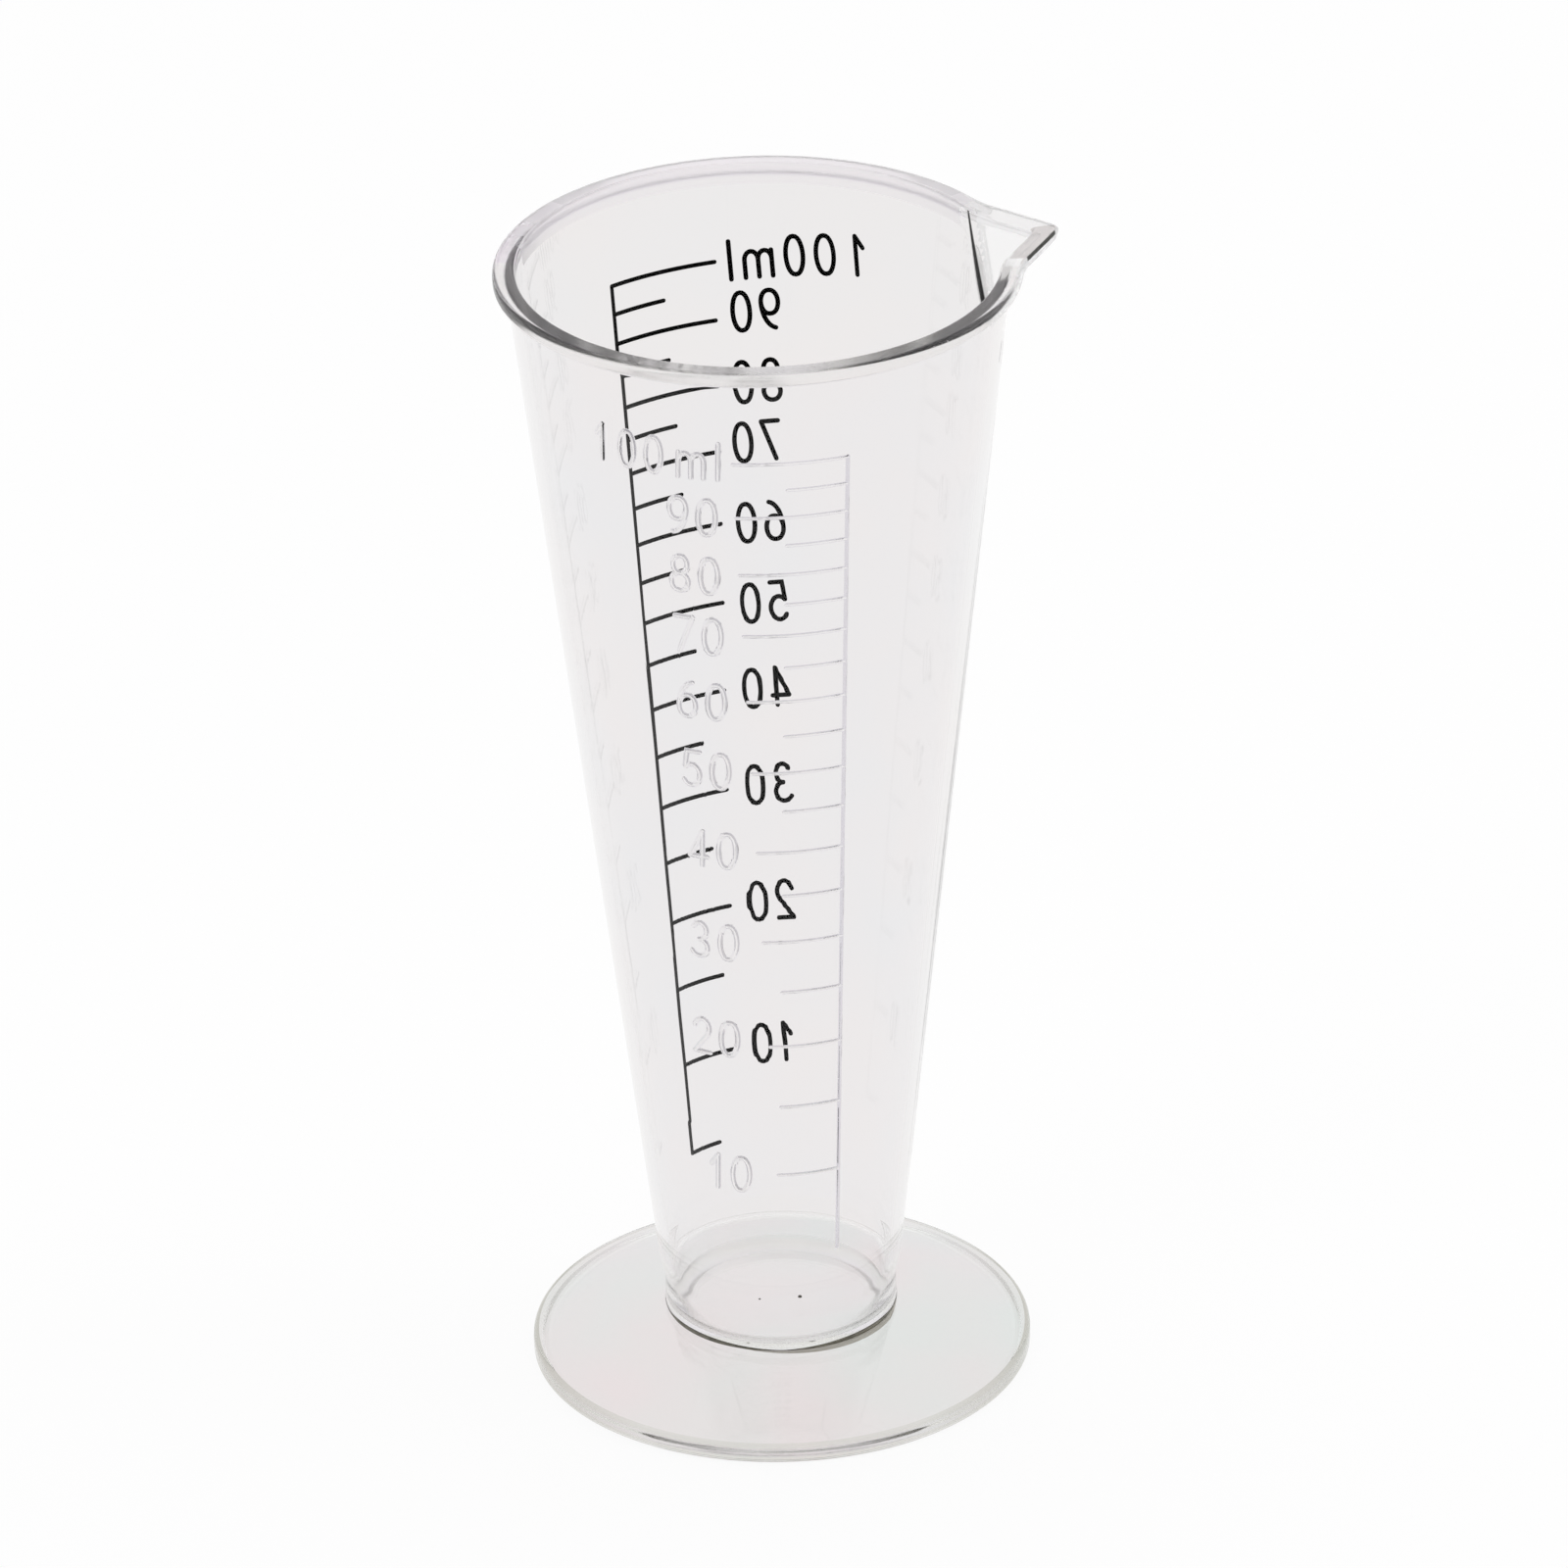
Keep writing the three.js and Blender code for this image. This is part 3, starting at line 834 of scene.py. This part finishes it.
def beaker_profile():
    lip = wall_radius(CUP_HEIGHT) + LIP_PROUD
    corners = [
        (0, HEEL_BOTTOM, 0),
        (HEEL_RADIUS, HEEL_BOTTOM, HEEL_EDGE),
        (HEEL_RADIUS, SEAM_HEIGHT, 0),
        (HEEL_RADIUS, HEEL_TOP, HEEL_ROUND),
        (wall_radius(SHOULDER_TOP), SHOULDER_TOP, SHOULDER_ROUND),
        (wall_radius(LIP_BOTTOM), LIP_BOTTOM, LIP_ROOT_ROUND),
        (lip, LIP_BOTTOM, LIP_ROUND),
        (lip, CUP_HEIGHT, LIP_ROUND),
        (inside_radius(CUP_HEIGHT), CUP_HEIGHT, MOUTH_ROUND),
        (inside_radius(FLOOR_TOP), FLOOR_TOP, FLOOR_CORNER),
        (0, FLOOR_TOP, 0),
    ]
    return with_spout_rings(rounded(corners))


def crown_height(share):
    """Height of the foot's top at that share of the way from the heel out to the edge."""
    slope = POCKET_TOP + (FOOT_EDGE_HEIGHT - POCKET_TOP) * share
    return slope + 4 * FOOT_CROWN * share * (1 - share)


def foot_profile():
    pocket = HEEL_RADIUS + BOND_FILM
    slope_end = FOOT_RADIUS - FOOT_EDGE_ROUND
    shares = np.linspace(0, 1, CROWN_POINTS)
    crown = [(pocket + (slope_end - pocket) * share, crown_height(share)) for share in shares]
    inset = FOOT_RING_WIDTH - FOOT_EDGE_ROUND
    hollow = [(r - inset, z - FOOT_WALL) for r, z in crown]
    corners = [
        (0, SEAT_HEIGHT - SEAT_WALL, 0),
        (*hollow[0], FOOT_HOLLOW_ROUND),
        *[(r, z, 0) for r, z in hollow[2:]],
        (FOOT_RADIUS - FOOT_RING_WIDTH, 0, FOOT_RING_ROUND),
        (FOOT_RADIUS, 0, FOOT_EDGE_ROUND / 2),
        (FOOT_RADIUS, FOOT_EDGE_HEIGHT, FOOT_EDGE_ROUND),
        *[(r, z, 0) for r, z in crown[-2:1:-1]],
        (pocket, POCKET_TOP, BOND_FILLET),
        (pocket, SEAM_HEIGHT, 0),
        (pocket, SEAT_HEIGHT, POCKET_ROUND),
        (0, SEAT_HEIGHT, 0),
    ]
    return rounded(corners)


def fused(base, operands):
    """The base with the operands joined to it as one surface."""
    for operand in operands:
        step = base.modifiers.new("join", "BOOLEAN")
        step.operation = "UNION"
        step.solver = "MANIFOLD"
        step.object = operand
    view = bpy.context.evaluated_depsgraph_get()
    mesh = bpy.data.meshes.new_from_object(base.evaluated_get(view))
    base.modifiers.clear()
    base.data = mesh
    for operand in operands:
        bpy.data.objects.remove(operand)
    return base


def ride(piece, slot, *nodes):
    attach(piece, "root")
    if nodes:
        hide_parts(*nodes)


# Material slots of the beaker; the paling steps of the lip follow from PALE_LIP on
(CLEAR, BOND, LIP, RELIEF, SPOUT, SPOUT_LIP, CREASE) = range(7)
(SPOUT_LIP_SHADE, TIP_SHADE, SOFT, SHADED, MARKS, FAR_MOUTH, CORNER, PALE_LIP) = range(7, 15)
SHELL = [clear, bond, lip, relief, spout_clear, spout_lip, crease]
SHELL += [spout_lip_shade, tip, soft, shaded_relief, mark_relief, far_mouth, soft_corner, *pale_lips]

# Material slots of the foot, after CLEAR and BOND
FOOT_EDGE = 2
FOOT_SHELL = [foot_clear, bond, edge]

SOFT_FROM = 8.8  # radius from which the heel and the floor's corner look soft
CORNER_REACH = 0.3  # how far past the inner floor's edge its corner counts
EDGE_FROM = FOOT_RADIUS - FOOT_EDGE_ROUND - 0.2  # radius from which the foot has its edge's look
SCALES_FROM_Y = 12  # both scales lie further to the sides than this
SCALES_FROM_Z = SHOULDER_TOP + 0.5  # and higher
SPOUT_FACE_X = 24.0  # the spout's faces lie beyond this
SPOUT_NEAR_Y = 0.3  # and its near side within this
# from here on the near side of the spout lip gets painted shade
SPOUT_SHADE_FROM_X = 25.0
DARK_LINE_X = (26.0, 30.4)  # the painted shade line along the near side of the spout lip, and its blunt end
DARK_TIP_X = 29.1  # from here on the lip's inner rounding gets painted shade too
CREASE_FACES = 0.6  # half width of the faces that carry the painted shade line in the fold
CREASE_FROM_Z = SPOUT_BOTTOM + 0.5
UNDER_LIP = 0.7  # how far the frosted look of the far mouth reaches below the lip
FLAT_TOP = 0.97  # upward share of a normal from which a face counts as the lip's flat top
ROUND_FROM = 0.2  # and from which it counts as its rounding
SHADED_FROM = 0.45  # how far a numeral's side leans along the diagonal to get the darker painted shade


def beaker_slot(radius, z):
    if z < SEAM_HEIGHT and (z < SEAT_HEIGHT + HEEL_EDGE or radius > HEEL_RADIUS - HEEL_EDGE):
        return BOND
    if z < SHOULDER_TOP:
        inside = radius < inside_radius(FLOOR_TOP) + CORNER_REACH and z > FLOOR_TOP - NEAR
        return CLEAR if radius < SOFT_FROM else CORNER if inside else SOFT
    if z > LIP_BOTTOM and radius > inside_radius(z) + NEAR:
        return LIP
    return CLEAR


def foot_slot(radius, z):
    if radius < HEEL_RADIUS + 2 * BOND_FILM and z > SEAT_HEIGHT - BOND_FILM:
        return BOND
    if radius > EDGE_FROM:
        return FOOT_EDGE
    return CLEAR


def foot_top(radius):
    """Height of the foot's upper face beside the heel."""
    return crown_height((radius - HEEL_RADIUS) / (FOOT_RADIUS - FOOT_EDGE_ROUND - HEEL_RADIUS))


def bead(name):
    """Painted shade and light round the front of the heel, shaped as set glue: a dark line of
    painted shade, and a pale smear of painted reflection on the foot below it.
    """
    turns = np.linspace(-JOINT_END, JOINT_END, JOINT_STEPS)
    ends = np.clip((JOINT_END - np.abs(turns)) / JOINT_TAPER, JOINT_LEAST, 1)
    swell = np.abs(np.sin(2 * turns)) ** JOINT_SHARPNESS
    dark = (JOINT_FAINT + (1 - JOINT_FAINT) * swell) * ends
    spreading = SMEAR_MEAN + SMEAR_SWING * np.cos(2 * (turns - SMEAR_MIDDLE))
    smear = np.clip(spreading, SMEAR_LEAST, 1) * ends
    root = foot_top(HEEL_RADIUS)
    verts, faces, slots = [], [], []
    for turn, full, spread in zip(turns, dark, smear):
        outer = HEEL_RADIUS + SMEAR_OUT * spread
        between = (HEEL_RADIUS + outer) / 2
        section = [  # four points of the line, then five of the smear
            (HEEL_RADIUS - JOINT_ROOT, POCKET_TOP - JOINT_SINK),
            (HEEL_RADIUS + JOINT_OUT * full, POCKET_TOP - JOINT_SINK),
            (HEEL_RADIUS + JOINT_BEND[0] * full, POCKET_TOP + JOINT_BEND[1] * full),
            (HEEL_RADIUS - JOINT_ROOT, POCKET_TOP + JOINT_UP * full),
            (HEEL_RADIUS, root - SMEAR_SINK[0]),
            (outer, foot_top(outer) - SMEAR_SINK[1]),
            (outer, foot_top(outer) + SMEAR_THICK[1]),
            (between, foot_top(between) + SMEAR_THICK[0]),
            (HEEL_RADIUS, root + SMEAR_THICK[0]),
        ]
        azimuth = FRONT_AZIMUTH + turn
        verts.extend((r * math.cos(azimuth), r * math.sin(azimuth), z) for r, z in section)
    last = len(turns) - 1
    for slot, (start, size) in enumerate(((0, 4), (4, 5))):
        for i in range(last):
            low, high = i * 9 + start, i * 9 + 9 + start
            for k in range(size):
                m = (k + 1) % size
                faces.append((low + k, low + m, high + m, high + k))
        faces.append(tuple(start + k for k in range(size))[::-1])
        faces.append(tuple(last * 9 + start + k for k in range(size)))
        slots += [slot] * (last * size + 2)
    return make_object(name, verts, faces, [dark_marks_and_joint_shade, smear_reflection], slots)


def nubs(name):
    """Low round marks on the floor where the plastic entered the mould."""
    ahead_x, ahead_y = math.cos(FRONT_AZIMUTH), math.sin(FRONT_AZIMUTH)
    angles = np.radians(np.arange(0, 360, 360 // NUB_SIDES))
    verts, faces = [], []
    for side, ahead, radius, height in GATE_MARKS:
        cx = ahead * ahead_x - side * ahead_y
        cy = ahead * ahead_y + side * ahead_x
        start = len(verts)
        for ring, rise in NUB_PROFILE:
            r, z = radius * ring, FLOOR_TOP + height * rise
            verts.extend((cx + r * math.cos(a), cy + r * math.sin(a), z) for a in angles)
        for low in range(start, len(verts) - NUB_SIDES, NUB_SIDES):
            high = low + NUB_SIDES
            for i in range(NUB_SIDES):
                j = (i + 1) % NUB_SIDES
                faces.append((low + i, low + j, high + j, high + i))
        faces.append(tuple(range(start, start + NUB_SIDES))[::-1])
        faces.append(tuple(range(len(verts) - NUB_SIDES, len(verts))))
    return make_object(name, verts, faces, [dark_marks_and_joint_shade])


def of_order(strokes, order):
    return [stroke[1:] for stroke in strokes if stroke[0] == order]


azimuths = ring_azimuths()
beaker = lathe("cup_beaker", beaker_profile(), azimuths, SHELL, beaker_slot)

# The moulded scale, in layers whose strokes don't run into each other before they are joined to the
# wall: strokes, width, how many faces from each foot of the ridge get painted shade, and their slot
mould_lines = scale_lines(
    on_mould, MOULD_FIRST_MARK, MOULD_BASELINE, MOULD_LONG_MARK, MOULD_SHORT_MARK, 0, MOULD_LINE
)
mould_numerals = labels(MOULDED_LABELS, on_mould, MOULD_LINE)
ridges = [
    (of_order(mould_lines, 0), MOULD_UPRIGHT_SPREAD, 12, MARKS),
    (of_order(mould_lines, 1), MOULD_MARK_SPREAD, 3, MARKS),
]
for order in sorted({stroke[0] for stroke in mould_numerals}):
    ridges.append((of_order(mould_numerals, order), MOULD_NUMERAL_SPREAD, 4, RELIEF))
operands = []
for strokes, width, shaded, side_slot in ridges:
    points, faces, places = join_strokes(strokes, width, ridge_section)
    sides = (places > 1) & ((places < 2 + shaded) | (places > RIDGE_POINTS - shaded))
    operands.append(make_object("ridge", points, faces, SHELL, np.where(sides, side_slot, CLEAR)))
beaker = fused(beaker, operands)

slots = face_values(beaker, "material_index", kind=np.int32)
normals = face_values(beaker, "normal", 3)
up = normals[:, 2]
x, y, z = (face_values(beaker, "center", 3) / MM - (AXIS_X, 0, 0)).T
reach = np.hypot(x, y)
raised = (reach > wall_radius(z) + NEAR) & (np.abs(y) > SCALES_FROM_Y)
raised &= (z > SCALES_FROM_Z) & (z < SPOUT_BOTTOM)
set_normals(beaker, raised.astype(np.int32), cone=True)

slots[(slots == CLEAR) & (x > SPOUT_FACE_X) & (z > SPOUT_BOTTOM)] = SPOUT

# Painted shade: the numerals' sides are tinted darker where they face along one diagonal
turned = (normals[:, 1] * x - normals[:, 0] * y) / reach
diagonal = np.abs(turned + up + math.sin(CONE_ANGLE))
slots[(slots == RELIEF) & (diagonal > SHADED_FROM)] = SHADED

# Painted light: the lip grows paler towards the back, and there the inside of the mouth looks
# frosted and pale
backwards = -(x * math.cos(FRONT_AZIMUTH) + y * math.sin(FRONT_AZIMUTH)) / reach
outside = normals[:, 0] * x + normals[:, 1] * y > 0
far_inside = (backwards > FAR_FROM) & ~outside
under_lip = far_inside & (slots == CLEAR) & (z > LIP_BOTTOM - UNDER_LIP)
under_lip &= x < CREASE_X - CREASE_FACES
inner_lip = far_inside & (slots == LIP) & (up < FLAT_TOP)
paling = (slots == LIP) & ~inner_lip
for step, (start, *_) in enumerate(PALE_STEPS):
    slots[paling & (backwards > start)] = PALE_LIP + step
slots[under_lip | inner_lip] = FAR_MOUTH

# Painted shade on the spout's lip: smoky grey on its near side, near black along the near side's
# rounding and at the tip
top_face = z > CUP_HEIGHT - 2 * NEAR
rounding = (up > ROUND_FROM) & (up < FLAT_TOP)
spout_lips = (np.isin(slots, (LIP, FAR_MOUTH)) | (slots >= PALE_LIP)) & (x > SPOUT_FACE_X)
slots[spout_lips] = SPOUT_LIP
near = spout_lips & (y < SPOUT_NEAR_Y)
slots[near & (x > SPOUT_SHADE_FROM_X) & (top_face | ~outside)] = SPOUT_LIP_SHADE
dark = near & rounding & (x > DARK_LINE_X[0]) & (x < DARK_LINE_X[1])
slots[dark & (outside | (x > DARK_TIP_X))] = TIP_SHADE

# Painted shade in the fold where the spout leaves the mouth, on the wall's inner face only
fold = (slots == CLEAR) & (np.abs(x - CREASE_X) < CREASE_FACES) & (z > CREASE_FROM_Z)
for face in np.flatnonzero(fold):
    azimuth = np.array([math.atan2(y[face], x[face])])
    if reach[face] < spouted_radius(azimuth, z[face], -WALL / 2)[0]:
        slots[face] = CREASE
beaker.data.polygons.foreach_set("material_index", slots)
ride(beaker, "clear_plastic", "beaker")

foot = lathe("cup_foot", foot_profile(), azimuths, FOOT_SHELL, foot_slot)
bonded = face_values(foot, "material_index", kind=np.int32) == BOND
set_normals(foot, bonded.astype(np.int32))
ride(foot, "clear_plastic", "foot")

joint_shade_line = bead("joint_shade_line")
ride(joint_shade_line, "clear_plastic")
gate_marks = nubs("gate_marks")
ride(gate_marks, "clear_plastic")

print_lines = scale_lines(
    flat_print,
    PRINT_FIRST_MARK,
    PRINT_BASELINE,
    PRINT_LONG_MARK,
    PRINT_SHORT_MARK,
    PRINT_LOWEST_MARK,
    PRINT_LINE,
)
print_numerals = labels(PRINTED_LABELS, flat_print, PRINT_NUMERAL_LINE)


def printed(name, strokes, line):
    points, faces, _ = join_strokes([stroke[1:] for stroke in strokes], line, ink_section)
    return make_object(name, points, faces, [ink])


printed_lines = printed("printed_lines", print_lines, PRINT_LINE)
ride(printed_lines, "black_ink", "printed_scale")
printed_numerals = printed("printed_numerals", print_numerals, PRINT_NUMERAL_LINE)
ride(printed_numerals, "black_ink")


# ---- stage, light and camera ----


SEEN_THROUGH = (0.85, 0.84, 0.834)  # what the plastic shows of the floor and backdrop
FLOOR_REACH = 4.0
FLOOR_COLOUR = 0.85  # for light and shadow
FLOOR_GLOW = 0.93  # share of plain white in what the camera sees; the rest keeps the shadow

# The room: dark behind the camera, with a pale backdrop behind the cup (share of the turn, colour)
SPOUT_TURN = math.radians(13.5)  # from the camera's line of sight to the spout's side
ROOM_TONES = [(0.46, (0.09, 0.08, 0.068)), (0.62, (0.83, 0.81, 0.84))]


def mix_shaders(tree, factor, first, second, output):
    """The first shader turns into the second as the factor goes to 1, at the tree's output."""
    mixer = tree.nodes.new("ShaderNodeMixShader")
    tree.links.new(factor, mixer.inputs["Fac"])
    tree.links.new(first.outputs[0], mixer.inputs[1])
    tree.links.new(second.outputs[0], mixer.inputs[2])
    tree.links.new(mixer.outputs[0], tree.nodes.new(output).inputs["Surface"])


def paper_material():
    """A pale floor that is white to the camera and SEEN_THROUGH where the plastic shows it."""
    material = bpy.data.materials.new("paper")
    material.use_nodes = True
    tree = material.node_tree
    tree.nodes.clear()
    diffuse = tree.nodes.new("ShaderNodeBsdfDiffuse")
    diffuse.inputs["Color"].default_value = (*grey(FLOOR_COLOUR), 1)
    ray = tree.nodes.new("ShaderNodeLightPath").outputs
    glow = tree.nodes.new("ShaderNodeEmission")
    tone = mix_colours(tree, ray["Is Transmission Ray"], grey(1.0), SEEN_THROUGH)
    tree.links.new(tone, glow.inputs["Color"])
    shown = math_node(tree, "MAXIMUM", ray["Is Camera Ray"], ray["Is Glossy Ray"])
    shown = math_node(tree, "MAXIMUM", shown, ray["Is Transmission Ray"])
    share = math_node(tree, "MULTIPLY", shown, FLOOR_GLOW)
    mix_shaders(tree, share, diffuse, glow, "ShaderNodeOutputMaterial")
    return material


def studio_world():
    """Plain and pale to the camera, and the room's tones for everything else."""
    world = bpy.data.worlds.new("studio")
    world.use_nodes = True
    tree = world.node_tree
    tree.nodes.clear()
    direction = tree.nodes.new("ShaderNodeTexCoord").outputs["Generated"]
    ahead = (math.sin(SPOUT_TURN) / 2, math.cos(SPOUT_TURN) / 2, 0)
    facing = math_node(tree, "ADD", vector_node(tree, "DOT_PRODUCT", direction, ahead), 0.5)
    walls = tree.nodes.new("ShaderNodeValToRGB")
    for element, (position, tone) in zip(walls.color_ramp.elements, ROOM_TONES):
        element.position, element.color = position, (*tone, 1)
    tree.links.new(facing, walls.inputs["Fac"])
    room = tree.nodes.new("ShaderNodeBackground")
    tree.links.new(walls.outputs["Color"], room.inputs["Color"])
    plain = tree.nodes.new("ShaderNodeBackground")
    camera_ray = tree.nodes.new("ShaderNodeLightPath").outputs["Is Camera Ray"]
    mix_shaders(tree, camera_ray, room, plain, "ShaderNodeOutputWorld")
    return world


ways = [(-1, -1), (1, -1), (1, 1), (-1, 1)]
corners = [(FLOOR_REACH * i, FLOOR_REACH * j, 0) for i, j in ways]
floor_mesh = bpy.data.meshes.new("floor")
floor_mesh.from_pydata(corners, [], [(0, 1, 2, 3)])
floor_mesh.materials.append(paper_material())
floor = add_object("floor", floor_mesh)
floor.location.x = AXIS_X * MM

bpy.context.scene.world = studio_world()

LAMPS_AIM_AT = (0, 0, 0.06)


def soft_box(name, place, size, power):
    """A rectangular lamp aimed at the cup; reflections and the plastic don't show it."""
    light = bpy.data.lights.new(name, "AREA")
    light.shape = "RECTANGLE"
    light.size, light.size_y = size
    light.energy = power
    lamp = add_object(name, light)
    lamp.location = place
    lamp.visible_glossy = False
    lamp.visible_transmission = False
    aim = Vector(LAMPS_AIM_AT) - Vector(place)
    lamp.rotation_euler = aim.to_track_quat("-Z", "Y").to_euler()


soft_box("top_light", (0.1, 0.2, 1.3), (1.2, 1.2), 9)
soft_box("left_light", (-1.1, -0.5, 0.7), (0.5, 0.9), 4)
soft_box("right_light", (1.1, -0.3, 0.8), (0.5, 0.9), 5)

# The camera, fitted to the photograph with the cup's axis as its origin
CAMERA_PLACE = (0.0, -1105.40, 629.40)
CAMERA_YAW, CAMERA_PITCH, CAMERA_ROLL = 0.0013196, 0.4722022, -0.0220038
CAMERA_LENS = 279.977
CAMERA_SENSOR = 36.0
CAMERA_CLIP = (0.05, 20)

sin_yaw, cos_yaw = math.sin(CAMERA_YAW), math.cos(CAMERA_YAW)
sin_pitch, cos_pitch = math.sin(CAMERA_PITCH), math.cos(CAMERA_PITCH)
forward = Vector((sin_yaw * cos_pitch, cos_yaw * cos_pitch, -sin_pitch))
level = Vector((cos_yaw, -sin_yaw, 0))
upward = level.cross(forward)
side = level * math.cos(CAMERA_ROLL) + upward * math.sin(CAMERA_ROLL)
top = upward * math.cos(CAMERA_ROLL) - level * math.sin(CAMERA_ROLL)
axes = Matrix((side, top, -forward)).transposed().to_4x4()
place = Matrix.Rotation(-SPOUT_TURN, 4, "Z") @ Matrix.Translation(Vector(CAMERA_PLACE) * MM) @ axes
camera_data = bpy.data.cameras.new("camera")
camera_data.sensor_width = CAMERA_SENSOR
camera_data.lens = CAMERA_LENS
camera_data.clip_start, camera_data.clip_end = CAMERA_CLIP
camera = add_object("camera", camera_data)
camera.matrix_world = Matrix.Translation((AXIS_X * MM, 0, 0)) @ place
bpy.context.scene.camera = camera

BOUNCES = 256  # fewer leave black patches where light runs on inside the lip and the foot
ALPHA_BOUNCES = 64  # through faces with an alpha below 1
scene = bpy.context.scene
scene.view_settings.view_transform = "Standard"
scene.cycles.max_bounces = BOUNCES
scene.cycles.glossy_bounces = BOUNCES
scene.cycles.transmission_bounces = BOUNCES
scene.cycles.transparent_max_bounces = ALPHA_BOUNCES

bpy.context.view_layer.update()
